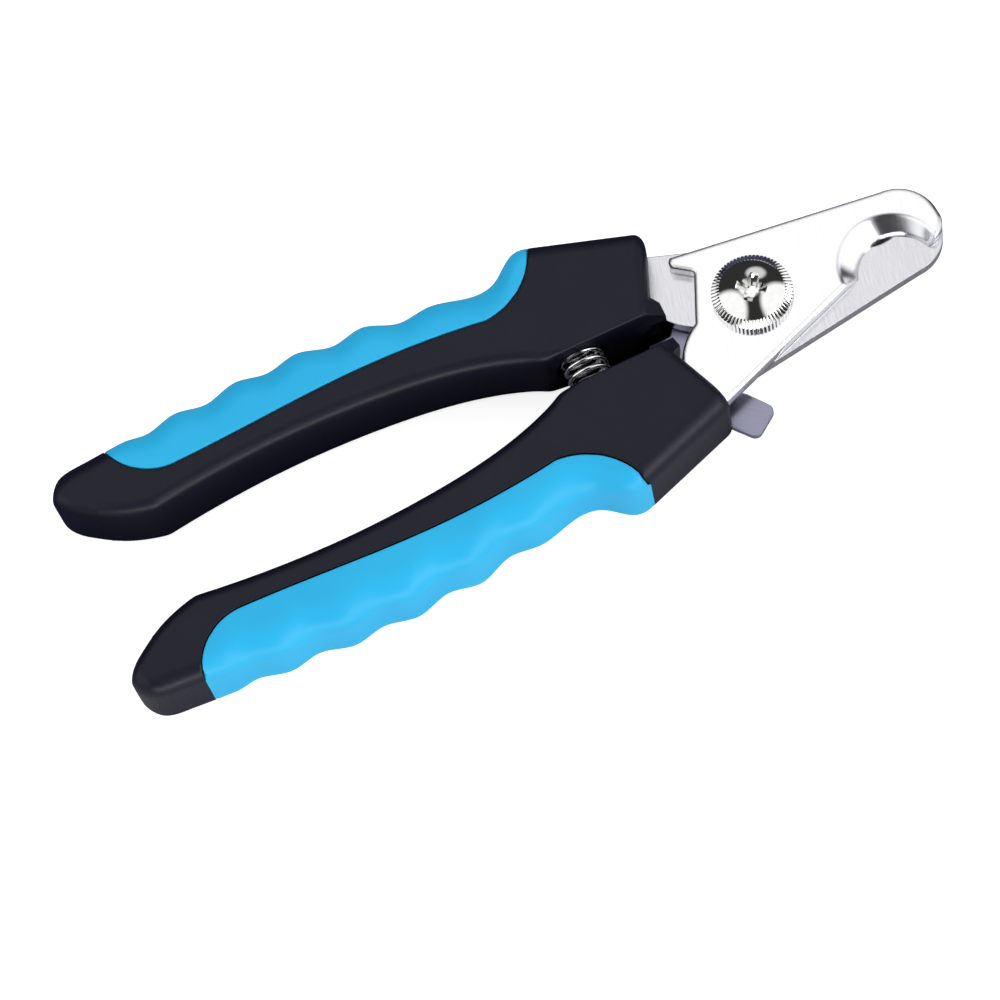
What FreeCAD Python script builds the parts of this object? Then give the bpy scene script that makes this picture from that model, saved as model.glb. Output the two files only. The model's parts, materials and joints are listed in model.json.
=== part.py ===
import FreeCAD, Part
import math
import os

import Sketcher
from FreeCAD import Placement, Rotation, Vector

# Pet nail trimmer, millimetres. +X points to the jaw tips, +Y to the rear lever's handle and +Z to the
# side of the screw head. Both levers are the same parts: the rear lever is the front lever turned half
# a turn about X. The tool is drawn closed, around its pivot, in the plane where the two blades slide on
# each other; at the end everything moves along X so that the origin is the middle of the whole tool.

doc = FreeCAD.newDocument("nail_trimmer")

# ---------------------------------------------------------------- driving dimensions

DIMENSIONS = {
    "pivot_x": 42.7,
    "blade_thick": 2.5,
    "blade_round": 0.5,
    "edge_radius": 6.8,
    "edge_x": 23.8,
    "edge_y": -6.55,
    "grind_radius": 8.75,
    "grind_x": 23.1,
    "grind_y": -5.0,
    "handle_thick": 14.4,
    "handle_round": 1.5,
    "region_excess": 2.0,
    "core_thick": 10.8,
    "bush_radius": 3.5,
    "bush_bore": 2.55,
    "running_gap": 0.03,
    "washer_gap": 0.02,
    "screw_radius": 2.5,
    "rim_radius": 6.85,
    "rim_height": 2.0,
    "rim_bevel": 0.4,
    "dome_radius": 5.5,
    "dome_height": 3.7,
    "recess_width": 1.5,
    "recess_length": 5.6,
    "recess_depth": 2.2,
    "recess_turn": 25.0,
    "guard_top": -2.65,
    "guard_thick": 1.2,
    "guard_washer_radius": 6.0,
    "guard_washer_thick": 0.1,
    "wave_radius": 4.75,
    "wave_thick": 0.35,
    "wave_sheet": 0.21,
    "nut_flats": 8.0,
    "nut_height": 2.5,
    "lever_top": -2.7,
    "lever_thick": 1.2,
    "lug_height": 2.4,
    "slot_top": -2.6,
    "slot_height": 1.8,
    "lock_x": -20.5,
    "lock_y": -6.5,
    "lock_pin_radius": 1.25,
    "lock_pin_length": 4.8,
    "lock_pin_top": -0.3,
    "lock_washer_radius": 2.6,
    "lock_washer_thick": 0.4,
    "tang_pin_radius": 1.5,
    "tang_pin_length": 9.0,
    "tang_pin_x": -26.0,
    "tang_pin_y": -12.0,
    "tang_pin_step": 20.0,
    "spring_x": -30.0,
    "spring_radius": 3.65,
    "wire_radius": 0.45,
    "spring_pitch": 1.33,
    "spring_slack": 0.1,
    "pocket_radius": 4.7,
    "pocket_reach": 8.0,
}

sheet = doc.addObject("Spreadsheet::Sheet", "Dims")
for row, (alias, value) in enumerate(DIMENSIONS.items(), start=1):
    sheet.set(f"A{row}", alias)
    sheet.set(f"B{row}", str(value))
    sheet.setAlias(f"B{row}", alias)
doc.recompute()

# ---------------------------------------------------------------- building blocks

HALF_TURN = Placement(Vector(0, 0, 0), Rotation(Vector(1, 0, 0), 180))
LEVERS = {"front": Placement(), "rear": HALF_TURN}


def dim(alias):
    return float(sheet.get(alias))


def bind(obj, **sizes):
    """Binds properties of obj to the sheet: each value is an expression over the aliases."""
    for name, expression in sizes.items():
        obj.setExpression(name, expression)
    return obj


def place(obj, x="0", y="0", z="0"):
    """Binds the position of obj to expressions."""
    for axis, expression in zip("xyz", (x, y, z)):
        obj.setExpression(f"Placement.Base.{axis}", expression)
    return obj


def new_body(label):
    body = doc.addObject("PartDesign::Body", label)
    body.Label = label
    return body


def new_sketch(body, name, plane="XY_Plane", height=None):
    """A sketch on one of the body's origin planes, raised by the expression height."""
    sketch = body.newObject("Sketcher::SketchObject", name)
    origin = [f for f in body.Origin.OriginFeatures if f.Role == plane][0]
    sketch.AttachmentSupport = (origin, "")
    sketch.MapMode = "FlatFace"
    if height is not None:
        sketch.setExpression("AttachmentOffset.Base.z", height)
    return sketch


def flat(point):
    return Vector(point[0], point[1], 0)


def draw(sketch, start, steps):
    """Draws a closed outline of ("line", end), ("arc", middle, end) and ("curve", point, ...) steps."""
    here = start
    for kind, *points in steps:
        if kind == "line":
            sketch.addGeometry(Part.LineSegment(flat(here), flat(points[0])))
        elif kind == "arc":
            sketch.addGeometry(Part.Arc(flat(here), flat(points[0]), flat(points[1])))
        else:
            curve = Part.BSplineCurve()
            curve.interpolate([flat(here)] + [flat(p) for p in points])
            sketch.addGeometry(curve)
        here = points[-1]
    return sketch


def draw_circle(sketch, radius, x="0", y="0"):
    """Draws a circle whose radius and centre follow expressions."""
    n = sketch.addGeometry(Part.Circle(Vector(1, 1, 0), Vector(0, 0, 1), 1.0))
    for expression, constraint in (
        (radius, Sketcher.Constraint("Radius", n, 1.0)),
        (x, Sketcher.Constraint("DistanceX", -1, 1, n, 3, 1.0)),
        (y, Sketcher.Constraint("DistanceY", -1, 1, n, 3, 1.0)),
    ):
        sketch.setExpression(f"Constraints[{sketch.addConstraint(constraint)}]", expression)
    return sketch


def pad(body, sketch, length, midplane=False):
    feature = body.newObject("PartDesign::Pad", "Pad")
    feature.Profile = sketch
    feature.Midplane = midplane
    bind(feature, Length=length)
    doc.recompute()
    return feature


def cylinder(label, radius, height, x="0", y="0", z="0"):
    solid = doc.addObject("Part::Cylinder", label)
    solid.Label = label
    bind(solid, Radius=radius, Height=height)
    return place(solid, x, y, z)


def cut(label, base, tool):
    result = doc.addObject("Part::Cut", label)
    result.Label = label
    result.Base = base
    result.Tool = tool
    return result


def fuse(label, *shapes):
    result = doc.addObject("Part::MultiFuse", label)
    result.Label = label
    result.Shapes = list(shapes)
    return result


def ring(label, outer, inner, height, z):
    """A flat washer or sleeve on the pivot axis."""
    return cut(
        label,
        cylinder(label + "_outside", outer, height, z=z),
        cylinder(label + "_hole", inner, height, z=z),
    )


def at_rim(feature, heights):
    """Names of the feature's open edges that lie wholly in one of the given planes."""
    names = []
    for n, edge in enumerate(feature.Shape.Edges, start=1):
        levels = {round(v.Z, 4) for v in edge.Vertexes}
        if len(levels) == 1 and levels.pop() in heights and not edge.isClosed():
            names.append(f"Edge{n}")
    return names


# ---------------------------------------------------------------- blades


def make_blade(label, placement):
    """Jaw, nib and tang in one stamping, with the notch ground hollow from the outer face."""
    body = new_body(label)
    outline = draw(
        new_sketch(body, label + "_outline"),
        (-9.3, 12.6),
        [
            ("line", (27.0, 7.5)),
            ("arc", (32.4, 5.0), (34.2, 0.0)),
            ("arc", (33.5, -3.0), (31.0, -4.4)),
            ("line", (29.0, -4.4)),
            ("line", (17.0, -4.54)),
            ("line", (-12.8, -15.7)),
            ("line", (-18.0, -14.4)),
            ("line", (-60.0, -17.6)),
            ("line", (-60.0, -14.6)),
            ("line", (-36.0, -8.9)),
            ("line", (-22.0, -8.2)),
            ("line", (-15.8, -6.0)),
            ("arc", (-13.9, -2.9), (-10.6, -0.2)),
            ("line", (-7.0, 8.0)),
            ("arc", (-6.9, 8.4), (-7.2, 8.8)),
            ("line", (-9.5, 10.6)),
            ("arc", (-9.9, 11.8), (-9.3, 12.6)),
        ],
    )
    draw_circle(outline, "Dims.bush_radius + Dims.running_gap")
    for n in range(2):
        x = f"Dims.tang_pin_x - {n} * Dims.tang_pin_step"
        draw_circle(outline, "Dims.tang_pin_radius", x, f"Dims.tang_pin_y - {n}")
    pad(body, outline, "Dims.blade_thick")

    edge = draw_circle(
        new_sketch(body, label + "_edge"), "Dims.edge_radius", "Dims.edge_x", "Dims.edge_y"
    )
    grind = draw_circle(
        new_sketch(body, label + "_grind", height="Dims.blade_thick"),
        "Dims.grind_radius",
        "Dims.grind_x",
        "Dims.grind_y",
    )
    notch = body.newObject("PartDesign::SubtractiveLoft", label + "_notch")
    notch.Profile = edge
    notch.Sections = [grind]
    doc.recompute()
    outer_edges = at_rim(notch, (dim("blade_thick"),))
    rounding = body.newObject("PartDesign::Fillet", label + "_rounding")
    rounding.Base = (notch, outer_edges)
    bind(rounding, Radius="Dims.blade_round")
    doc.recompute()
    body.Placement = placement
    return body


# ---------------------------------------------------------------- handles

INNER_FRONT = (-17.2, -2.9)
SHOULDER_BACK = (-36.4, -3.0)
OUTER_FRONT = (-11.6, -17.2)
GRIP_FRONT = (-30.2, -23.7)
GRIP_BACK = (-108.5, -22.1)
TAIL = [(-111.5, -10.6), (-116.6, -13.9), (-119.7, -17.6), (-118.0, -20.7), (-113.6, -21.7)]
RIPPLE = [
    GRIP_BACK,
    (-104.5, -22.1),
    (-101.0, -21.8),
    (-95.2, -22.9),
    (-90.0, -22.3),
    (-84.0, -23.5),
    (-78.6, -22.8),
    (-72.6, -23.6),
    (-66.6, -22.3),
    (-61.0, -22.9),
    (-55.2, -21.1),
    (-49.6, -21.3),
    (-41.5, -19.8),
    (-37.0, -20.8),
    (-32.2, -23.9),
    GRIP_FRONT,
]


def make_envelope(label):
    """The outside of a whole handle, rounded along both faces."""
    body = new_body(label)
    outline = draw(
        new_sketch(body, label + "_outline"),
        INNER_FRONT,
        [
            ("line", SHOULDER_BACK),
            ("curve", (-43.2, -5.8), (-51.3, -7.9), (-63.1, -9.5), (-80.0, -10.2), (-104.5, -8.3)),
            ("curve", *TAIL, *RIPPLE),
            ("line", OUTER_FRONT),
            ("line", INNER_FRONT),
        ],
    )
    block = pad(body, outline, "Dims.handle_thick", midplane=True)
    half = dim("handle_thick") / 2
    rounding = body.newObject("PartDesign::Fillet", label + "_rounding")
    rounding.Base = (block, at_rim(block, (half, -half)))
    bind(rounding, Radius="Dims.handle_round")
    doc.recompute()
    return body


def make_grip_region(label):
    """The part of the handle's plan that the rubber finger grip covers."""
    body = new_body(label)
    outline = draw(
        new_sketch(body, label + "_outline"),
        (-109.4, -26.0),
        [
            ("line", GRIP_BACK),
            ("arc", (-105.2, -16.6), (-99.0, -14.2)),
            ("curve", (-82.0, -15.0), (-65.0, -15.7), (-50.0, -15.0), (-42.0, -14.0)),
            ("arc", (-34.7, -16.8), GRIP_FRONT),
            ("line", (-29.0, -26.0)),
            ("line", (-109.4, -26.0)),
        ],
    )
    pad(body, outline, "Dims.handle_thick + Dims.region_excess", midplane=True)
    return body


def make_core_bar(label):
    """The hard insert's outside, two millimetres and more inside the handle's."""
    body = new_body(label)
    outline = draw(
        new_sketch(body, label + "_outline"),
        (-19.8, -5.2),
        [
            ("line", (-36.5, -5.6)),
            ("curve", (-44.0, -8.7), (-52.0, -11.1), (-64.0, -13.0), (-80.0, -13.4), (-103.5, -11.6)),
            ("curve", (-110.0, -13.8), (-115.5, -17.4)),
            ("line", (-107.0, -18.9)),
            ("line", (-62.0, -19.2)),
            ("curve", (-50.0, -18.2), (-41.5, -16.9), (-33.0, -20.6)),
            ("line", (-16.2, -15.6)),
            ("line", (-19.8, -5.2)),
        ],
    )
    pad(body, outline, "Dims.core_thick", midplane=True)
    return body


def make_lever_slot():
    """The space in the front handle's shoulder that the lock lever and its lug swing in."""
    body = new_body("lock_slot")
    outline = draw(
        new_sketch(body, "lock_slot_outline", height="Dims.slot_top - Dims.slot_height"),
        (-24.6, -2.0),
        [
            ("line", (-24.6, -8.4)),
            ("line", (-17.2, -14.6)),
            ("line", (-10.5, -19.2)),
            ("line", (-10.0, -2.0)),
            ("line", (-24.6, -2.0)),
        ],
    )
    pad(body, outline, "Dims.slot_height")
    lug_room = draw(
        new_sketch(body, "lug_room_outline", height="Dims.slot_top"),
        (-14.2, -14.8),
        [
            ("line", (-10.0, -14.8)),
            ("line", (-10.0, -9.0)),
            ("line", (-14.2, -9.0)),
            ("line", (-14.2, -14.8)),
        ],
    )
    pad(body, lug_room, "-Dims.slot_top")
    return body


def make_spring_pocket(label):
    """A round pocket across the shoulder, on the spring's axis."""
    pocket = cylinder(
        label, "Dims.pocket_radius", "Dims.pocket_reach", "Dims.spring_x", "-Dims.pocket_reach"
    )
    pocket.Placement.Rotation = Rotation(Vector(1, 0, 0), -90)
    return pocket


def make_tang_pins(label, placement):
    """Two pins through the core and the tang."""
    pins = []
    for n in range(2):
        pin = cylinder(
            f"{label}_{n}",
            "Dims.tang_pin_radius",
            "Dims.tang_pin_length",
            f"Dims.tang_pin_x - {n} * Dims.tang_pin_step",
            f"Dims.tang_pin_y - {n}",
            "-Dims.tang_pin_length / 2",
        )
        pins.append(pin)
    group = doc.addObject("Part::Compound", label)
    group.Label = label
    group.Links = pins
    group.Placement = placement
    return group


def make_lever(side, placement, extra_holes):
    """Core, cover and grip of one handle, each cleared for what passes through it."""
    envelope = make_envelope(f"{side}_envelope")
    region = make_grip_region(f"{side}_grip_region")
    bar = make_core_bar(f"{side}_core_bar")
    stamping = make_blade(f"{side}_blade_seat", Placement())
    pocket = make_spring_pocket(f"{side}_spring_pocket")
    pins = make_tang_pins(f"{side}_pin_holes", Placement())

    inside = fuse(f"{side}_inside", bar, stamping, pocket, *extra_holes)
    core_holes = fuse(f"{side}_core_holes", stamping, pocket, *pins.Links, *extra_holes)
    grip_side = doc.addObject("Part::Common", f"{side}_grip_side")
    grip_side.Base = envelope
    grip_side.Tool = region
    cover_side = cut(f"{side}_cover_side", envelope, region)
    parts = [
        cut(f"{side}_handle_core", bar, core_holes),
        cut(f"{side}_handle_cover", cover_side, inside),
        cut(f"{side}_handle_grip", grip_side, bar),
    ]
    for part in parts:
        part.Placement = placement
    return parts


# ---------------------------------------------------------------- pivot


def make_screw():
    """Shank, knurl-wide rim and dome turned in one piece, with a cross recess."""
    body = new_body("pivot_screw")
    floor = dim("blade_thick")
    rim, dome, shank = dim("rim_radius"), dim("dome_radius"), dim("screw_radius")
    rim_top, bevel = floor + dim("rim_height"), dim("rim_bevel")
    dome_top = floor + dim("dome_height")
    rise = dome_top - rim_top
    ball = (dome**2 + rise**2) / (2 * rise)
    lean = math.asin(dome / ball) / 2
    halfway = (ball * math.sin(lean), dome_top - ball * (1 - math.cos(lean)))
    nut_bottom = dim("guard_top") - dim("guard_thick") - dim("wave_thick") - dim("nut_height")
    profile = draw(
        new_sketch(body, "screw_profile", plane="XZ_Plane"),
        (0, nut_bottom),
        [
            ("line", (shank, nut_bottom)),
            ("line", (shank, floor)),
            ("line", (rim, floor)),
            ("line", (rim, rim_top - bevel)),
            ("line", (rim - bevel, rim_top)),
            ("line", (dome, rim_top)),
            ("arc", halfway, (0, dome_top)),
            ("line", (0, nut_bottom)),
        ],
    )
    turned = body.newObject("PartDesign::Revolution", "turned")
    turned.Profile = profile
    turned.ReferenceAxis = (profile, ["V_Axis"])
    turned.Angle = 360
    doc.recompute()
    cross = new_sketch(body, "cross", height="Dims.blade_thick + Dims.dome_height")
    arm, half = dim("recess_length") / 2, dim("recess_width") / 2
    corners = [(arm, -half), (arm, half), (half, half)]
    points = []
    for quarter in range(4):
        turn = Rotation(Vector(0, 0, 1), dim("recess_turn") + 90 * quarter)
        points += [turn.multVec(flat(p)) for p in corners]
    draw(cross, points[-1], [("line", p) for p in points])
    recess = body.newObject("PartDesign::Pocket", "recess")
    recess.Profile = cross
    bind(recess, Length="Dims.recess_depth")
    doc.recompute()
    return body


def make_wave_washer():
    """A dished spring washer between the guard and the nut."""
    washer = doc.addObject("Part::Feature", "wave_washer")
    washer.Label = "wave_washer"
    thick, sheet_thick = dim("wave_thick"), dim("wave_sheet")
    inner, outer = dim("bush_bore"), dim("wave_radius")
    top = dim("guard_top") - dim("guard_thick")
    corners = [
        Vector(inner, 0, top - sheet_thick),
        Vector(outer, 0, top - thick),
        Vector(outer, 0, top - thick + sheet_thick),
        Vector(inner, 0, top),
    ]
    face = Part.Face(Part.makePolygon(corners + corners[:1]))
    washer.Shape = face.revolve(Vector(0, 0, 0), Vector(0, 0, 1), 360)
    return washer


def make_nut():
    body = new_body("pivot_nut")
    outline = new_sketch(
        body,
        "nut_outline",
        height="Dims.guard_top - Dims.guard_thick - Dims.wave_thick - Dims.nut_height",
    )
    corner = dim("nut_flats") / math.sqrt(3)
    points = [
        (corner * math.cos(math.radians(60 * n)), corner * math.sin(math.radians(60 * n)))
        for n in range(6)
    ]
    draw(outline, points[-1], [("line", p) for p in points])
    draw_circle(outline, "Dims.screw_radius")
    pad(body, outline, "Dims.nut_height")
    return body


def make_guard():
    """The quick guard: a round eye on the bush and an arm that lies behind the jaws."""
    body = new_body("guard_plate")
    outline = draw(
        new_sketch(body, "guard_outline", height="Dims.guard_top - Dims.guard_thick"),
        (0, 7.6),
        [
            ("line", (11.0, 5.4)),
            ("line", (27.0, 4.6)),
            ("arc", (31.2, 0.4), (27.6, -4.2)),
            ("line", (12.0, -6.6)),
            ("line", (0, -7.6)),
            ("arc", (-7.6, 0), (0, 7.6)),
        ],
    )
    draw_circle(outline, "Dims.bush_radius + Dims.running_gap")
    pad(body, outline, "Dims.guard_thick")
    return body


# ---------------------------------------------------------------- lock


def make_lock_lever():
    """Eye, heel, thumb tab and the upturned lug that stops the rear blade's nib."""
    body = new_body("lock_lever")
    plate = draw(
        new_sketch(body, "lever_outline", height="Dims.lever_top - Dims.lever_thick"),
        (-22.4, -4.2),
        [
            ("line", (-18.6, 1.7)),
            ("line", (-14.7, 1.7)),
            ("line", (-13.8, 3.0)),
            ("line", (-10.2, 1.2)),
            ("line", (-9.8, -1.4)),
            ("line", (-12.2, -9.6)),
            ("line", (-7.8, -13.6)),
            ("line", (-5.4, -16.9)),
            ("arc", (-5.1, -17.8), (-5.5, -18.7)),
            ("line", (-8.6, -20.9)),
            ("arc", (-9.5, -21.1), (-10.3, -20.7)),
            ("line", (-13.0, -17.3)),
            ("line", (-17.6, -13.8)),
            ("line", (-22.2, -9.0)),
            ("arc", (-23.5, -6.6), (-22.4, -4.2)),
        ],
    )
    draw_circle(plate, "Dims.lock_pin_radius + Dims.running_gap", "Dims.lock_x", "Dims.lock_y")
    pad(body, plate, "Dims.lever_thick")
    lug = draw(
        new_sketch(body, "lug_outline", height="Dims.lever_top"),
        (-13.9, -12.5),
        [
            ("line", (-12.3, -11.9)),
            ("line", (-11.7, -13.7)),
            ("line", (-13.3, -14.3)),
            ("line", (-13.9, -12.5)),
        ],
    )
    pad(body, lug, "Dims.lug_height")
    return body


# ---------------------------------------------------------------- return spring


def make_spring():
    """A coil along Y between the two pockets' floors, drawn as the closed tool squeezes it."""
    spring = doc.addObject("Part::Feature", "return_spring")
    spring.Label = "return_spring"
    radius, wire = dim("spring_radius"), dim("wire_radius")
    length = 2 * (dim("pocket_reach") - wire) - dim("spring_slack")
    helix = Part.makeHelix(dim("spring_pitch"), length, radius)
    section = Part.Wire(Part.makeCircle(wire, Vector(radius, 0, 0), Vector(0, 1, 0)))
    coil = Part.Wire(helix).makePipeShell([section], True, True)
    coil.Placement = Placement(
        Vector(dim("spring_x"), -length / 2, 0), Rotation(Vector(1, 0, 0), -90)
    )
    spring.Shape = coil
    return spring


# ---------------------------------------------------------------- assembly

subparts = []
slot = make_lever_slot()
lock_hole = cylinder(
    "lock_hole",
    "Dims.lock_pin_radius",
    "Dims.lock_pin_length",
    "Dims.lock_x",
    "Dims.lock_y",
    "Dims.lock_pin_top - Dims.lock_pin_length",
)
extra_holes = {"front": [slot, lock_hole], "rear": []}
for side, placement in LEVERS.items():
    subparts.append(make_blade(f"{side}_blade", placement))
    subparts += make_lever(side, placement, extra_holes[side])
    subparts.append(make_tang_pins(f"{side}_tang_pins", placement))

subparts += [
    make_screw(),
    ring(
        "pivot_bush",
        "Dims.bush_radius",
        "Dims.bush_bore",
        "Dims.blade_thick - Dims.guard_top + Dims.guard_thick",
        "Dims.guard_top - Dims.guard_thick",
    ),
    ring(
        "guard_washer",
        "Dims.guard_washer_radius",
        "Dims.bush_radius + Dims.running_gap",
        "Dims.guard_washer_thick",
        "-Dims.blade_thick - Dims.washer_gap - Dims.guard_washer_thick",
    ),
    make_guard(),
    make_wave_washer(),
    make_nut(),
    make_lock_lever(),
    cylinder(
        "lock_pin",
        "Dims.lock_pin_radius",
        "Dims.lock_pin_length",
        "Dims.lock_x",
        "Dims.lock_y",
        "Dims.lock_pin_top - Dims.lock_pin_length",
    ),
    make_spring(),
]
lock_washer = ring(
    "lock_washer",
    "Dims.lock_washer_radius",
    "Dims.lock_pin_radius",
    "Dims.lock_washer_thick",
    "0",
)
place(
    lock_washer, "Dims.lock_x", "Dims.lock_y", "Dims.slot_top - Dims.slot_height + Dims.washer_gap"
)
subparts.append(lock_washer)
doc.recompute()

# The last step of the assembly: from the pivot's frame to the whole tool's middle.
for part in subparts:
    bound = {path.lstrip("."): text for path, text in part.ExpressionEngine}
    from_pivot = bound.get("Placement.Base.x", part.Placement.Base.x)
    part.setExpression("Placement.Base.x", f"{from_pivot} + Dims.pivot_x")
doc.recompute()

# ---------------------------------------------------------------- checks and export

for obj in doc.Objects:
    if {"Invalid", "Error"} & set(obj.State):
        raise RuntimeError(f"{obj.Label} failed: {obj.State}")
for part in subparts:
    if part.Shape.isNull() or not part.Shape.isValid() or not part.Shape.Solids:
        raise RuntimeError(f"{part.Label} has no valid solid")

os.makedirs("parts", exist_ok=True)
for part in subparts:
    part.Shape.exportStep(os.path.join("parts", part.Label + ".step"))
    print(part.Label, len(part.Shape.Solids), round(part.Shape.Volume, 1))
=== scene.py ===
import json
import math

import bmesh
import bpy
import numpy as np
from mathutils import Matrix, Vector
from mathutils.bvhtree import BVHTree


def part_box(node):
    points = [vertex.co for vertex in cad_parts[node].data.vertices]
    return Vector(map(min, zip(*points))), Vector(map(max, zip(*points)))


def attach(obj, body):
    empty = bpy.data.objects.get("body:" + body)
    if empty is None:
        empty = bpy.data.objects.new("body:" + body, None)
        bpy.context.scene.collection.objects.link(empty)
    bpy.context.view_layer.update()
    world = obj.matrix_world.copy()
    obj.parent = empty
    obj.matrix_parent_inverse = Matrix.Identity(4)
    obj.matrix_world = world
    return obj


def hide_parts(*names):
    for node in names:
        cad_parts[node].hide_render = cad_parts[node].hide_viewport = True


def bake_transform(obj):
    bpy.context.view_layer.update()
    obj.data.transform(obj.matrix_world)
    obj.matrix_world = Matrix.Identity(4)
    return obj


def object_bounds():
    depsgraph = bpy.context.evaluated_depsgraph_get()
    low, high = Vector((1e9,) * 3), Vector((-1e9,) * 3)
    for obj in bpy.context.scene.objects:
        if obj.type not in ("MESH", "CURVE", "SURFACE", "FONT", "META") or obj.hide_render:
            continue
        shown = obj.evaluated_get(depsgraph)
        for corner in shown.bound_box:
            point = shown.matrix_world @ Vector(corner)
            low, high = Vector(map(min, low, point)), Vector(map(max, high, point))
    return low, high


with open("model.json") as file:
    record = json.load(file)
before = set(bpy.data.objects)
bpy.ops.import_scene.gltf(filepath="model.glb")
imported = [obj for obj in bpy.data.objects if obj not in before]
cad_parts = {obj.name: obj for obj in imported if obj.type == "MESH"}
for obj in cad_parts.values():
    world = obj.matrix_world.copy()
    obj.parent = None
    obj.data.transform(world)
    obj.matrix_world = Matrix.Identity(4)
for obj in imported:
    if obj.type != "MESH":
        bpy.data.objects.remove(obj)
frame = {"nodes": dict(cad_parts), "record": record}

MM = 0.001
cad_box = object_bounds()
nodes = frame["nodes"]
PIVOT_X = sum(corner.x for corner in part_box("pivot_screw")) / 2 / MM

# ------------------------------------------------------------------ materials


class Nodes:
    """A node tree, with short calls for the nodes used below."""

    def __init__(self, tree):
        self.tree = tree

    def feed(self, node, key, value):
        if isinstance(value, bpy.types.NodeSocket):
            self.tree.links.new(value, node.inputs[key])
        else:
            node.inputs[key].default_value = value

    def add(self, kind, output=0, settings=(), **inputs):
        """Adds a node and gives back one of its outputs; input names use _ for a space."""
        node = self.tree.nodes.new(kind)
        for key, value in dict(settings).items():
            setattr(node, key, value)
        for key, value in inputs.items():
            self.feed(node, key.replace("_", " "), value)
        return node.outputs[output]

    def place(self, stretch=(1, 1, 1), turn=0.0):
        """Object coordinates in millimetres over stretch, on axes turned about Z."""
        return self.add(
            "ShaderNodeMapping",
            settings={"vector_type": "TEXTURE"},
            Vector=self.add("ShaderNodeTexCoord", output="Object"),
            Rotation=(0, 0, turn),
            Scale=[s * MM for s in stretch],
        )

    def noise(self, vector, scale, detail=3.0, roughness=0.5):
        return self.add(
            "ShaderNodeTexNoise", Vector=vector, Scale=scale, Detail=detail, Roughness=roughness
        )

    def ramp(self, value, low, high, start=0.0, end=1.0, blend="LINEAR"):
        """Maps value from start..end to low..high, clamped."""
        return self.add(
            "ShaderNodeMapRange",
            settings={"interpolation_type": blend},
            Value=value,
            From_Min=start,
            From_Max=end,
            To_Min=low,
            To_Max=high,
        )

    def math(self, operation, a, b):
        node = self.add("ShaderNodeMath", settings={"operation": operation}).node
        self.feed(node, 0, a)
        self.feed(node, 1, b)
        return node.outputs[0]

    def mix(self, factor, a, b):
        node = self.add("ShaderNodeMix", settings={"data_type": "RGBA"}).node
        for socket, value in ((0, factor), (6, a), (7, b)):
            self.feed(node, socket, value)
        return node.outputs[2]

    def bump(self, height, strength, depth, **more):
        depth *= MM
        return self.add("ShaderNodeBump", Height=height, Strength=strength, Distance=depth, **more)

    def hollow(self, reach):
        """One in the open, falling towards zero in narrow gaps."""
        return self.add(
            "ShaderNodeAmbientOcclusion", output="AO", settings={"samples": 8}, Distance=reach * MM
        )


class Shader(Nodes):
    """The nodes of a new material, around its Principled surface."""

    def __init__(self, name, **inputs):
        self.material = bpy.data.materials.new(name)
        self.material.use_nodes = True
        super().__init__(self.material.node_tree)
        self.surface = self.tree.nodes["Principled BSDF"]
        self.use(**inputs)

    def use(self, **inputs):
        """Sets inputs of the surface and gives back the material."""
        for key, value in inputs.items():
            self.feed(self.surface, key.replace("_", " "), value)
        return self.material


def grey(value, blue=1.0):
    return (value, value, value * blue, 1)


def steel(name, tone, polish, streak, turn, soften, low=0.92, blue=1.03):
    """Sheet metal: fine grinding lines, cloudy polish, and edges that roll off softly."""
    s = Shader(name, Metallic=1.0)
    lines = s.noise(s.place((0.11, 5.0, 5.0), turn), 1.0, 6.0, 0.7)
    clouds = s.noise(s.place(), 0.12)
    rough = s.ramp(lines, polish * 0.8, polish * 1.3, 0.3, 0.7)
    edge = s.add("ShaderNodeBevel", settings={"samples": 6}, Radius=soften * MM)
    return s.use(
        Base_Color=s.mix(s.ramp(lines, 0, 1, 0.35, 0.6), grey(tone * low, blue), grey(tone, blue)),
        Roughness=s.math("ADD", rough, s.ramp(clouds, 0.0, 0.05, 0.35, 0.7)),
        Anisotropic=0.5,
        Normal=s.bump(lines, streak, 0.02, Normal=edge),
    )


def plating(name, tone, rough, warm=1.0):
    """Bright plated metal with faint handling marks."""
    s = Shader(name, Metallic=1.0)
    marks = s.noise(s.place(), 0.9, 5.0, 0.65)
    worn = s.ramp(marks, 0, 1, 0.35, 0.75)
    return s.use(
        Base_Color=s.mix(worn, grey(tone, warm), grey(tone * 0.9, warm)),
        Roughness=s.ramp(marks, rough, rough + 0.07, 0.4, 0.8),
        Normal=s.bump(marks, 0.06, 0.02),
    )


def moulded_plastic(name, tone, rough, grain):
    """Satin moulded plastic: spark-eroded grain, slow cloudiness, and painted shade that turns
    colour and specular near black in narrow gaps.
    """
    s = Shader(name, IOR=1.45)
    fine = s.noise(s.place(), 4.0, 4.0, 0.6)
    cloud = s.noise(s.place(), 0.13, 2.0)
    base = s.mix(s.ramp(cloud, 0, 1, 0.3, 0.7), grey(tone, 3.6), grey(tone * 1.3, 3.4))
    # Painted shade: ambient occlusion takes the colour to near black and the specular away in
    # narrow gaps.
    lit = s.ramp(s.hollow(7.0), 0.0, 1.0, 0.45, 0.75)
    return s.use(
        Base_Color=s.mix(lit, grey(0.0005), base),
        Roughness=s.ramp(fine, rough - 0.06, rough + 0.1, 0.3, 0.7),
        Specular_IOR_Level=s.math("MULTIPLY", lit, 0.38),
        Normal=s.bump(fine, grain, 0.03),
    )


def soft_rubber(name, colour, shade):
    """Soft-touch rubber: a slight sheen, a very fine grain and a slow change of tone."""
    s = Shader(name, IOR=1.4)
    fine = s.noise(s.place(), 6.0, 3.0)
    cloud = s.noise(s.place(), 0.1, 2.0)
    return s.use(
        Base_Color=s.mix(s.ramp(cloud, 0, 1, 0.3, 0.75), colour, shade),
        Roughness=s.ramp(fine, 0.4, 0.52, 0.3, 0.7),
        Normal=s.bump(fine, 0.1, 0.02),
        Sheen_Weight=0.08,
        Sheen_Roughness=0.4,
    )


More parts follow.
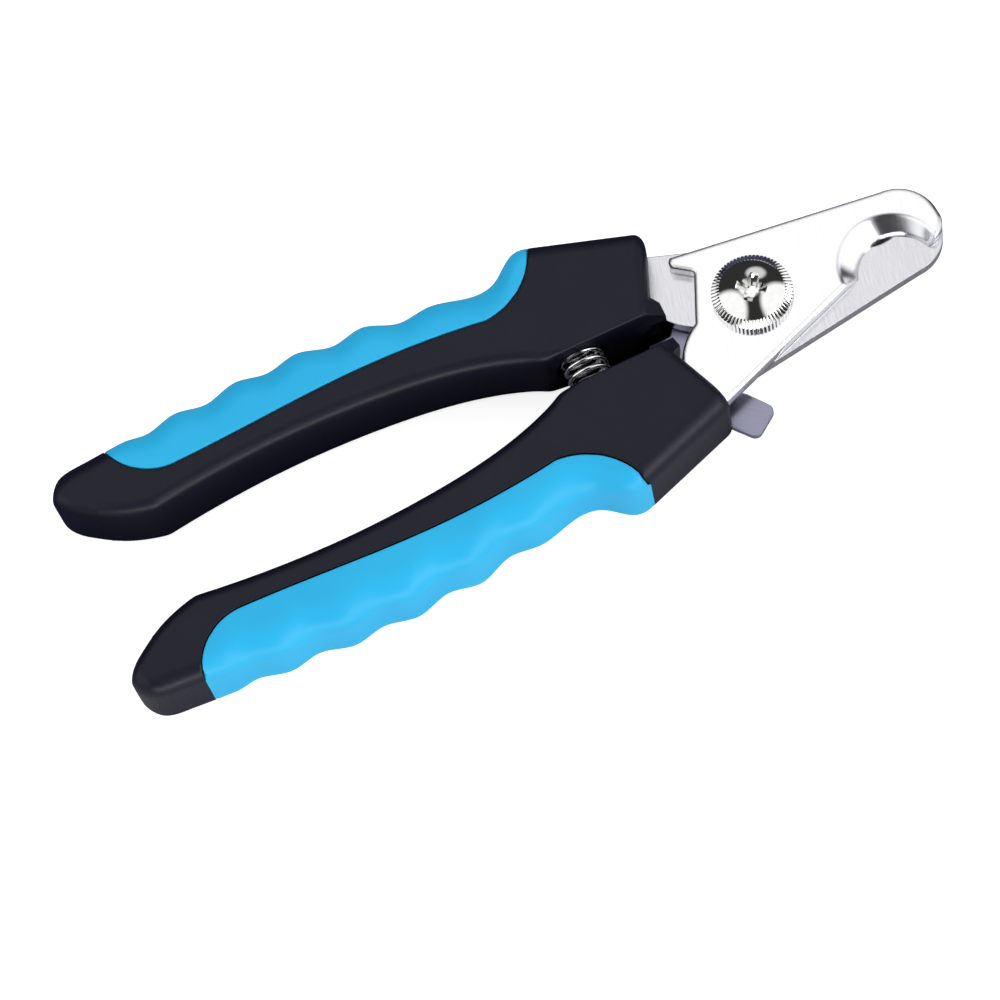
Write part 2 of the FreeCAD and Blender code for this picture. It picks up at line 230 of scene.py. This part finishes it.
GRIND_TURN = -0.2
FINISHES = {
    "polished_steel": steel("polished_steel", 0.95, 0.13, 0.03, GRIND_TURN, 0.9),
    "brushed_steel": steel("brushed_steel", 0.8, 0.2, 0.45, GRIND_TURN, 0.25, 0.78),
    "lock_steel": steel("lock_steel", 0.36, 0.3, 0.15, 0.9, 0.3, 0.85, 1.3),
    "chrome_screw": plating("chrome_screw", 0.92, 0.04, 0.97),
    "spring_steel": plating("spring_steel", 0.92, 0.12),
    "black_plastic": moulded_plastic("black_plastic", 0.003, 0.42, 0.12),
    "core_plastic": moulded_plastic("core_plastic", 0.004, 0.5, 0.12),
    "blue_rubber": soft_rubber("blue_rubber", (0.017, 0.44, 0.76, 1), (0.015, 0.41, 0.73, 1)),
}
slots = {row["node"]: row["material_slot"] for row in frame["record"]["subparts"]}


def paint(piece, slot):
    piece.data.materials.clear()
    piece.data.materials.append(FINISHES[slot])


for node, slot in slots.items():
    paint(nodes[node], slot)

# ------------------------------------------------------------------ mesh helpers


def new_piece(name, points, faces):
    """A mesh object from points in millimetres, cleaned and closed."""
    mesh = bpy.data.meshes.new(name)
    mesh.from_pydata([Vector(p) * MM for p in points], [], faces)
    work = bmesh.new()
    work.from_mesh(mesh)
    bmesh.ops.remove_doubles(work, verts=work.verts, dist=0.002 * MM)
    bmesh.ops.dissolve_degenerate(work, edges=work.edges, dist=0.001 * MM)
    bmesh.ops.recalc_face_normals(work, faces=work.faces)
    work.to_mesh(mesh)
    work.free()
    piece = bpy.data.objects.new(name, mesh)
    bpy.context.scene.collection.objects.link(piece)
    return piece


def loft(name, rings, capped=True):
    """Joins closed rings of equal length into one skin, with a cap at each end."""
    count = len(rings[0])
    points = [p for ring in rings for p in ring]
    faces = []
    for r in range(len(rings) - 1):
        for i in range(count):
            j = (i + 1) % count
            faces.append((r * count + i, r * count + j, (r + 1) * count + j, (r + 1) * count + i))
    if capped:
        faces.append(tuple(range(count)))
        faces.append(tuple((len(rings) - 1) * count + i for i in range(count)))
    return new_piece(name, points, faces)


def block(plan, low, high):
    """An upright prism over a plan, to cut with or to add."""
    return loft("tool", [[(x, y, z) for x, y in plan] for z in (low, high)])


def combine(piece, tool, operation):
    """Applies an exact boolean with a throw-away tool."""
    step = piece.modifiers.new("boolean", "BOOLEAN")
    step.operation = operation
    step.solver = "EXACT"
    step.object = tool
    graph = bpy.context.evaluated_depsgraph_get()
    result = bpy.data.meshes.new_from_object(piece.evaluated_get(graph))
    piece.modifiers.clear()
    piece.data = result
    bpy.data.objects.remove(tool)


def finish_piece(piece, node, body, sharp=35):
    """Smooth shading, material, body and the CAD node that the piece stands for."""
    for face in piece.data.polygons:
        face.use_smooth = True
    piece.data.set_sharp_from_angle(angle=math.radians(sharp))
    paint(piece, slots[node])
    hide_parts(node)
    if body:
        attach(piece, body)


def tree_of(*names):
    """A tree for ray casting on CAD nodes, in millimetres."""
    points, faces = [], []
    for name in names:
        start = len(points)
        points += [v.co / MM for v in nodes[name].data.vertices]
        faces += [[start + i for i in p.vertices] for p in nodes[name].data.polygons]
    return BVHTree.FromPolygons(points, faces)


def smoothstep(t):
    t = np.clip(t, 0, 1)
    return t * t * (3 - 2 * t)


def quarter(distance, radius):
    """How far a rounding of this radius drops at a distance from its far edge."""
    t = np.clip(1 - distance / radius, 0, 1)
    return radius * (1 - np.sqrt(1 - t * t))


# ------------------------------------------------------------------ handles

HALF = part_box("front_handle_cover")[1].z / MM

# Where the CAD plan is read: the height, the two rays that find the front face's lean, and the
# lines across the handle.
TRACE_Z = 5.55
LEAN_RAYS = (-6, -15)
MIDDLE_Y = -12.0
SCAN_FROM, SCAN_TO = 2, -30
LEAN_LENGTH = 25

# Stations: the step along the handle, and how many turn the corner at each end.
STEP = 0.45
FRONT_STEPS, TAIL_STEPS = 7, 22
TAIL_TURN = 6

# Radii across the section as (across, down), and how much fuller than the CAD the outside is.
FRONT_ROUND, TAIL_ROUND, CORNER_ROUND = 1.8, 3.0, 2.2
SHOULDER_ROUND, INNER_ROUND = 0.5, 2.3
SHOULDER, SHOULDER_FADE = 17, 9
BLACK_ROUND, BLUE_ROUND = (3.2, 3.0), (5.2, 3.5)
BLACK_SWELL, BLUE_SWELL = 0.3, 0.7
BLUE_START, BLUE_END, SWELL_END = 5, 6, 6

# The finger hollows are rounder than the ridges, judged against the width over this reach.
WELL, TREND = 1.2, 8

# The groove between cover and grip, and the easing of its edges.
SEAM_GAP, LIP, LIP_FADE = 0.2, 0.22, 1.5


class Handle:
    """The plan of the front handle, read from the CAD, as stations from its front to its tail.

    Each station is a line across the handle. It holds the inner wall's point, the direction
    outwards, the width, and how far along the seam between cover and grip lies.
    """

    def __init__(self):
        whole = tree_of("front_handle_cover", "front_handle_grip")
        grip = tree_of("front_handle_grip")
        near, far = (
            whole.ray_cast(Vector((PIVOT_X, y, TRACE_Z)), Vector((-1, 0, 0)))[0] for y in LEAN_RAYS
        )
        lean = (far.x - near.x) / (far.y - near.y)
        front = near.x + lean * (MIDDLE_Y - near.y)
        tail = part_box("front_handle_cover")[0].x / MM
        self.back = self.spacing(front - tail)
        self.inner, self.way, self.width, self.seam = [], [], [], []
        for back in self.back:
            slope = lean * (1 - smoothstep(back / LEAN_LENGTH))
            x = front - max(back, 0.02)
            start = Vector((x + slope * (SCAN_FROM - MIDDLE_Y), SCAN_FROM, TRACE_Z))
            end = Vector((x + slope * (SCAN_TO - MIDDLE_Y), SCAN_TO, TRACE_Z))
            way = (end - start).normalized()
            a = whole.ray_cast(start, way)[0]
            b = whole.ray_cast(end, -way)[0]
            seam = grip.ray_cast(start, way)[0]
            self.inner.append(a)
            self.way.append(way)
            self.width.append((b - a).length)
            self.seam.append((seam - a).length if seam else np.inf)
        self.inner, self.way = np.array(self.inner), np.array(self.way)
        self.width, self.seam = np.array(self.width), np.array(self.seam)
        self.soften()
        self.shape()

    def spacing(self, length):
        """Distances behind the front face: close together at both rounded ends."""
        front = FRONT_ROUND * (1 - np.cos(np.linspace(0, math.pi / 2, FRONT_STEPS)))
        tail_turn = np.linspace(math.pi / 2, 0, TAIL_STEPS)
        tail = length - 0.03 - TAIL_TURN * (1 - np.cos(tail_turn))
        body = np.arange(front[-1] + STEP, tail[0], STEP)
        return np.concatenate((front, body, tail))

    def soften(self):
        """Irons out the flats that the CAD mesh leaves on the walls."""
        kernel = np.hanning(7)[1:-1]
        kernel /= kernel.sum()
        middle = slice(FRONT_STEPS + 2, -TAIL_STEPS)
        for values in (self.width, self.inner[:, 1]):
            padded = np.pad(values, 2, mode="edge")
            values[middle] = np.convolve(padded, kernel, mode="valid")[middle]

    def shape(self):
        """Radii, swell and height along the handle."""
        held = np.isfinite(self.seam)
        first, last = self.back[held][0], self.back[held][-1]
        blue = smoothstep((self.back - first) / BLUE_START)
        blue *= smoothstep((last - self.back) / BLUE_END)
        span = int(TREND / STEP)
        kernel = np.hanning(2 * span + 1)
        kernel /= kernel.sum()
        trend = np.convolve(np.pad(self.width, span, mode="edge"), kernel, mode="valid")
        well = np.clip(trend - self.width, -1, 1) * blue
        self.outer_u = BLACK_ROUND[0] + (BLUE_ROUND[0] - BLACK_ROUND[0]) * blue + WELL * well
        self.outer_z = BLACK_ROUND[1] + (BLUE_ROUND[1] - BLACK_ROUND[1]) * blue + WELL * well
        swell = BLACK_SWELL + (BLUE_SWELL - BLACK_SWELL) * blue
        self.width = self.width + swell * smoothstep((self.back[-1] - self.back) / SWELL_END)
        self.width -= quarter(self.back, CORNER_ROUND)
        self.half = HALF - quarter(self.back, FRONT_ROUND)
        self.half -= quarter(self.back[-1] - self.back, TAIL_ROUND)
        arm = smoothstep((self.back - SHOULDER) / SHOULDER_FADE)
        self.inner_u = SHOULDER_ROUND + (INNER_ROUND - SHOULDER_ROUND) * arm
        self.inner_z = self.inner_u.copy()
        tight = np.minimum(1, 0.98 * self.width / (self.inner_u + self.outer_u))
        self.inner_u *= tight
        self.outer_u *= tight
        self.split = np.where(held, self.seam, self.width)
        self.held = held
        slope = np.gradient(self.split, self.back)
        self.gap = np.where(held, SEAM_GAP / 2 * np.sqrt(1 + np.clip(slope, -4, 4) ** 2), 0)
        self.lip = LIP * smoothstep((self.back - first) / LIP_FADE)
        self.lip *= smoothstep((last - self.back) / LIP_FADE)

    def crown(self, k, u):
        """Height of the handle's top surface at u across station k."""
        inner = self.inner_z[k] * quarter(u, self.inner_u[k]) / self.inner_u[k]
        outer = self.outer_z[k] * quarter(self.width[k] - u, self.outer_u[k]) / self.outer_u[k]
        return self.half[k] - inner - outer

    def across(self, k, start, stop):
        """Points over the top from start to stop, denser round both edges."""
        low, high = self.inner_u[k], self.width[k] - self.outer_u[k]
        turn = np.linspace(0, math.pi / 2, 9)
        bank = np.linspace(0, math.pi / 2, 14)
        u = np.concatenate((
            low * (1 - np.cos(turn)),
            np.linspace(low, high, 10)[1:-1],
            high + self.outer_u[k] * np.sin(bank),
        ))
        return np.clip(u, start, stop)

    def ring(self, k, start, stop, lip_start, lip_stop):
        """The closed section between two places across station k, with eased seam edges."""
        turn = np.linspace(0, math.pi / 2, 4)
        u = self.across(k, start + lip_start, stop - lip_stop)
        z = self.crown(k, u)
        before = lip_start * (1 - np.sin(turn[::-1]))
        after = lip_stop * np.sin(turn)
        top_u = np.concatenate((start + before, u, stop - lip_stop + after))
        top_z = np.concatenate((
            z[0] - lip_start * (1 - np.cos(turn[::-1])),
            z,
            z[-1] - lip_stop * (1 - np.cos(turn)),
        ))
        wall = np.linspace(1, -1, 7)[1:-1]
        u = np.concatenate((top_u, np.full(5, top_u[-1]), top_u[::-1], np.full(5, top_u[0])))
        z = np.concatenate((top_z, wall * top_z[-1], -top_z[::-1], -wall * top_z[0]))
        points = self.inner[k] + u[:, None] * self.way[k]
        points[:, 2] = z
        return points

    def cover(self):
        rings = []
        for k in range(len(self.back)):
            rings.append(self.ring(k, 0, self.split[k] - self.gap[k], 0, self.lip[k]))
        return rings

    def grip(self):
        held = np.flatnonzero(self.held)
        rings = []
        for k in range(held[0] - 1, held[-1] + 2):
            start = min(self.split[k] + self.gap[k], self.width[k])
            rings.append(self.ring(k, start, self.width[k], self.lip[k], 0))
        return rings


def turned(rings):
    """The same rings for the rear handle, which is the front one turned over about X."""
    return [ring * np.array((1, -1, -1)) for ring in rings]


def cylinder_rings(radius, start, end, centre, sides=64):
    """Two rings round a line along Y."""
    turn = np.linspace(0, 2 * math.pi, sides, endpoint=False)
    x, z = centre[0] + radius * np.cos(turn), centre[1] + radius * np.sin(turn)
    circle = np.stack((x, turn * 0, z), 1)
    return [circle + np.array((0, y, 0)) for y in (start, end)]


POCKET = 4.7


def cut_pocket(cover, side):
    """The round pocket that holds one end of the return spring."""
    low, high = (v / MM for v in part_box("return_spring"))
    centre = ((low.x + high.x) / 2, 0)
    reach = low.y if side < 0 else high.y
    combine(cover, loft("tool", cylinder_rings(POCKET, 0, reach, centre)), "DIFFERENCE")


def cut_slot(cover):
    """The slit in the front shoulder that the lock lever swings in."""
    low, high = (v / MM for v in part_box("lock_lever"))
    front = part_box("front_handle_cover")[1].x / MM
    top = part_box("guard_plate")[1].z / MM + 0.05
    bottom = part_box("lock_washer")[0].z / MM
    back = low.x - 1.1
    slit = [(back, -2), (back, -8.4), (back + 7.4, -14.6), (front + 1, -19.2), (front + 3, -2)]
    combine(cover, block(slit, bottom, top), "DIFFERENCE")
    lug_back = front - 2.6
    lug_room = [(lug_back, -14.8), (front + 3, -14.8), (front + 3, -9), (lug_back, -9)]
    combine(cover, block(lug_room, top - 0.1, 0), "DIFFERENCE")


NOSE_EDGE, NOSE_BROW, NOSE_FOOT = HALF - 0.1, 4.5, 2.7
CHIN_TOP, CHIN_FOOT = -0.1, -2.4
JOWL_TOP, JOWL_FOOT = -4.1, -6.6


def from_pivot(plan):
    return [(PIVOT_X + x, y) for x, y in plan]


def add_nose(cover, side):
    """The small lip at the shoulder's inner front corner: a slope down from the top face.

    Its plans go round the corner from the inner wall, and x is measured from the pivot. On the rear
    shoulder the lip goes on downwards as a chin beside the blades and a jowl under the lock lever.
    """
    if side < 0:
        edge = [(-21.0, -3.2), (-18.8, -3.0), (-17.05, -5.6), (-20.0, -8.0)]
        brow = [(-20.5, -2.9), (-15.3, -1.8), (-14.9, -3.6), (-16.4, -6.6)]
    else:
        edge = [(-21.0, 3.2), (-18.4, 3.1), (-17.15, 5.7), (-20.0, 8.0)]
        brow = [(-20.5, 2.9), (-14.65, 2.3), (-14.6, 4.9), (-16.0, 7.2)]
    layers = ((brow, NOSE_FOOT), (brow, NOSE_BROW), (edge, NOSE_EDGE))
    rings = [[(x, y, z) for x, y in from_pivot(plan)] for plan, z in layers]
    combine(cover, loft("tool", rings), "UNION")
    if side > 0:
        chin = [(-18.5, 2.6), (-15.95, 2.2), (-15.95, 4.0), (-16.1, 6.0), (-18.5, 6.0)]
        jowl = [(-18.5, 1.9), (-14.0, 1.7), (-12.6, 4.6), (-13.6, 8.0), (-18.5, 8.0)]
        combine(cover, block(from_pivot(chin), CHIN_FOOT, CHIN_TOP), "UNION")
        combine(cover, block(from_pivot(jowl), JOWL_FOOT, JOWL_TOP), "UNION")


def make_handles():
    handle = Handle()
    for name, side in (("front", -1), ("rear", 1)):
        rings = {"cover": handle.cover(), "grip": handle.grip()}
        for part, section in rings.items():
            node = f"{name}_handle_{part}"
            piece = loft(f"{name}_{part}", section if side < 0 else turned(section))
            if part == "cover":
                cut_pocket(piece, side)
                add_nose(piece, side)
                if side < 0:
                    cut_slot(piece)
            finish_piece(piece, node, f"{name}_lever")


make_handles()

# ------------------------------------------------------------------ pivot screw

RIM_TOP, RIM_WALL = 2.0, 1.2
DOME = 5.4
TEETH, TOOTH = 64, 0.3
SHANK = 2.5
CROSS_TURN = 52
CROSS = ((0.5, 3.1, 0.85), (-0.9, 2.3, 0.62), (-2.2, 1.0, 0.4))


def make_screw():
    """Shank, knurled rim, polished dome and a tapered cross recess."""
    low, high = (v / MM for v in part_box("pivot_screw"))
    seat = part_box("front_blade")[1].z / MM
    rim = high.y
    top = seat + RIM_TOP
    rise = high.z - top
    sides = TEETH * 6
    turn = np.linspace(0, 2 * math.pi, sides, endpoint=False)
    groove = 0.5 - 0.5 * np.cos(turn * TEETH)

    def ring(radius, z, cut=0.0, sink=0.0):
        r = radius - cut * groove
        return np.stack((PIVOT_X + r * np.cos(turn), r * np.sin(turn), z - sink * groove), 1)

    rings = [
        ring(SHANK, low.z),
        ring(SHANK, seat),
        ring(rim, seat, TOOTH * 0.3),
        ring(rim, seat + RIM_WALL, TOOTH * 0.3),
        ring(rim - 0.15, seat + RIM_WALL + 0.15, TOOTH * 0.6, TOOTH * 0.5),
        ring(DOME + 0.4, top - 0.08, 0, TOOTH * 0.8),
        ring(DOME + 0.15, top, 0, 0.0),
        ring(DOME, top + 0.05),
    ]
    for lean in np.linspace(0, 1, 14)[1:]:
        r = DOME * math.cos(lean * math.pi / 2)
        rings.append(ring(max(r, 0.02), top + 0.05 + (rise - 0.05) * (1 - (r / DOME) ** 2)))
    screw = loft("pivot_screw_head", rings)
    combine(screw, cross_tool(high.z), "DIFFERENCE")
    finish_piece(screw, "pivot_screw", "front_lever", 25)


def cross_tool(top):
    """A cross that narrows as it goes down, like the point of a driver.

    CROSS holds its layers: height over the dome's top, reach of an arm, and half its width.
    """
    rings = []
    for rise, arm, half in CROSS:
        crotch = half * 1.35
        corners = []
        for n in range(4):
            a = math.radians(CROSS_TURN + 90 * n)
            along = Vector((math.cos(a), math.sin(a), 0))
            aside = Vector((-math.sin(a), math.cos(a), 0))
            corners += [along * arm - aside * half, along * arm + aside * half]
            corners += [(along + aside) * crotch]
        rings.append([(PIVOT_X + p.x, p.y, top + rise) for p in corners])
    return loft("tool", rings)


make_screw()

# ------------------------------------------------------------------ return spring

WIRE = 0.42
COILS = 10.5
SLIM = 0.2
CLOSED_END = 0.04
OPEN_SHARE = 0.35


def make_spring():
    """A close-ended coil between the two handles.

    Its end turns lie closer together: part of the pitch is kept for the turns between them.
    """
    low, high = (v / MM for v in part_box("return_spring"))
    centre_x = (low.x + high.x) / 2
    radius = (high.z - low.z) / 2 - WIRE - SLIM
    start, end = low.y + WIRE, high.y - WIRE
    rings = []
    steps = int(COILS * 40)
    for k in range(steps + 1):
        t = k / steps
        angle = t * COILS * 2 * math.pi
        opened = smoothstep((t - CLOSED_END) / (1 - 2 * CLOSED_END))
        lead = opened * OPEN_SHARE + (1 - OPEN_SHARE) * t
        out = Vector((math.cos(angle), 0, math.sin(angle)))
        centre = Vector((centre_x, start + (end - start) * lead, 0)) + out * radius
        rings.append([
            centre + (out * math.cos(b) + Vector((0, 1, 0)) * math.sin(b)) * WIRE
            for b in np.linspace(0, 2 * math.pi, 12, endpoint=False)
        ])
    spring = loft("spring_coil", rings)
    finish_piece(spring, "return_spring", None, 60)
    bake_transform(spring)


make_spring()

# ------------------------------------------------------------------ stage

PHOTO_AZIMUTH = math.radians(-8.5)
PHOTO_ELEVATION = math.radians(67)
PHOTO_ROLL = math.radians(17)
PHOTO_DISTANCE = 640 * MM
AIM_RIGHT, AIM_UP = -42.2 * MM, -33.1 * MM
LENS = 138.24


def direction(azimuth, elevation):
    """From the origin towards a place in the room, both angles in radians."""
    flat = math.cos(elevation)
    return Vector((math.sin(azimuth) * flat, -math.cos(azimuth) * flat, math.sin(elevation)))


def make_camera():
    """A long lens at the photograph's angle, turned a little about its own axis."""
    back = direction(PHOTO_AZIMUTH, PHOTO_ELEVATION)
    level = Vector((math.cos(PHOTO_AZIMUTH), math.sin(PHOTO_AZIMUTH), 0))
    turn = Matrix.Rotation(-PHOTO_ROLL, 3, back)
    right, up = turn @ level, turn @ back.cross(level)
    camera = bpy.data.objects.new("camera", bpy.data.cameras.new("camera"))
    camera.data.lens = LENS
    camera.data.sensor_width = 36
    camera.data.clip_start, camera.data.clip_end = 0.01, 10
    axes = Matrix((right, up, back)).transposed().to_4x4()
    pivot = Vector((PIVOT_X * MM, 0, 0))
    where = pivot + right * AIM_RIGHT + up * AIM_UP + back * PHOTO_DISTANCE
    camera.matrix_world = Matrix.Translation(where) @ axes
    bpy.context.scene.collection.objects.link(camera)
    bpy.context.scene.camera = camera


# Soft cards round the room: azimuth, elevation, radius of full and of no brightness, brightness.
CARDS = [
    (171.5, 67, 13, 25, 1.12),
    (62, 38, 30, 42, 1.1),
    (-95, 38, 30, 42, 1.1),
    (33, 30, 10, 22, 4.5),
    (150, 34, 10, 18, 0.7),
]
DIM = 0.03
FLOOR_TONE, FLOOR_GLOW = 0.75, 0.75
MIRRORED_FRONT, MIRRORED_BACK = 0.55, 0.03
REFLECTION_DARK_START, REFLECTION_DARK_END = -30, 10


def make_floor():
    """A plain pale table just under the handles, lit from inside like a light table.

    What polished steel mirrors of it is a painted reflection: pale in front of the tool and dark
    behind it, standing in for a black flag laid there.
    """
    side = 3.0
    floor_z = cad_box[0].z - 0.02 * MM
    mesh = bpy.data.meshes.new("floor")
    corners = [(-side, -side), (side, -side), (side, side), (-side, side)]
    mesh.from_pydata([(x, y, floor_z) for x, y in corners], [], [(0, 1, 2, 3)])
    s = Shader("floor", Emission_Color=grey(1.0))
    # Painted reflection: glossy rays see the floor pale in front of the tool and near black behind
    # it, instead of its own tone.
    mirrored = s.add("ShaderNodeLightPath", output="Is Glossy Ray")
    y = s.add("ShaderNodeSeparateXYZ", output="Y", Vector=s.place())
    behind = s.ramp(y, 0, 1, REFLECTION_DARK_START, REFLECTION_DARK_END)
    painted_reflection = s.mix(behind, grey(MIRRORED_FRONT), grey(MIRRORED_BACK, 3))
    s.use(Base_Color=s.mix(mirrored, grey(FLOOR_TONE), painted_reflection))
    seen = s.add("ShaderNodeLightPath", output="Is Camera Ray")
    s.use(Emission_Strength=s.math("MULTIPLY", seen, FLOOR_GLOW))
    mesh.materials.append(s.use(Roughness=s.ramp(s.noise(s.place(), 0.05), 0.85, 0.95)))
    floor = bpy.data.objects.new("floor", mesh)
    bpy.context.scene.collection.objects.link(floor)


def make_world():
    """A dim room with soft white cards, which give metal and black plastic their shape."""
    world = bpy.data.worlds.new("studio")
    bpy.context.scene.world = world
    world.use_nodes = True
    n = Nodes(world.node_tree)
    look = n.add("ShaderNodeTexCoord", output="Generated")
    brightness = DIM
    for azimuth, elevation, inner, outer, value in CARDS:
        toward = n.add("ShaderNodeVectorMath", "Value", settings={"operation": "DOT_PRODUCT"})
        n.feed(toward.node, 0, look)
        n.feed(toward.node, 1, direction(math.radians(azimuth), math.radians(elevation)))
        far, near = math.cos(math.radians(outer)), math.cos(math.radians(inner))
        card = n.ramp(toward, DIM, value, far, near, "SMOOTHSTEP")
        brightness = n.math("MAXIMUM", brightness, card)
    background = world.node_tree.nodes["Background"]
    n.feed(background, "Strength", brightness)
    n.feed(background, "Color", (1, 1, 1.02, 1))


def make_light(name, azimuth, elevation, distance, size, power, mirrored=True):
    """A soft lamp aimed at the tool, which polished surfaces can be kept from mirroring."""
    toward = direction(math.radians(azimuth), math.radians(elevation))
    lamp = bpy.data.lights.new(name, "AREA")
    lamp.shape = "RECTANGLE"
    lamp.size, lamp.size_y = size
    lamp.energy = power
    holder = bpy.data.objects.new(name, lamp)
    holder.location = toward * distance
    holder.visible_glossy = mirrored
    holder.rotation_mode = "QUATERNION"
    holder.rotation_quaternion = toward.to_track_quat("Z", "Y")
    bpy.context.scene.collection.objects.link(holder)


def make_stage():
    make_camera()
    make_floor()
    make_world()
    make_light("front", -12, 12, 1.0, (0.9, 0.22), 4.5)
    make_light("back", 165, 50, 1.0, (0.6, 0.6), 3, mirrored=False)
    view = bpy.context.scene.view_settings
    view.view_transform = "Standard"


make_stage()
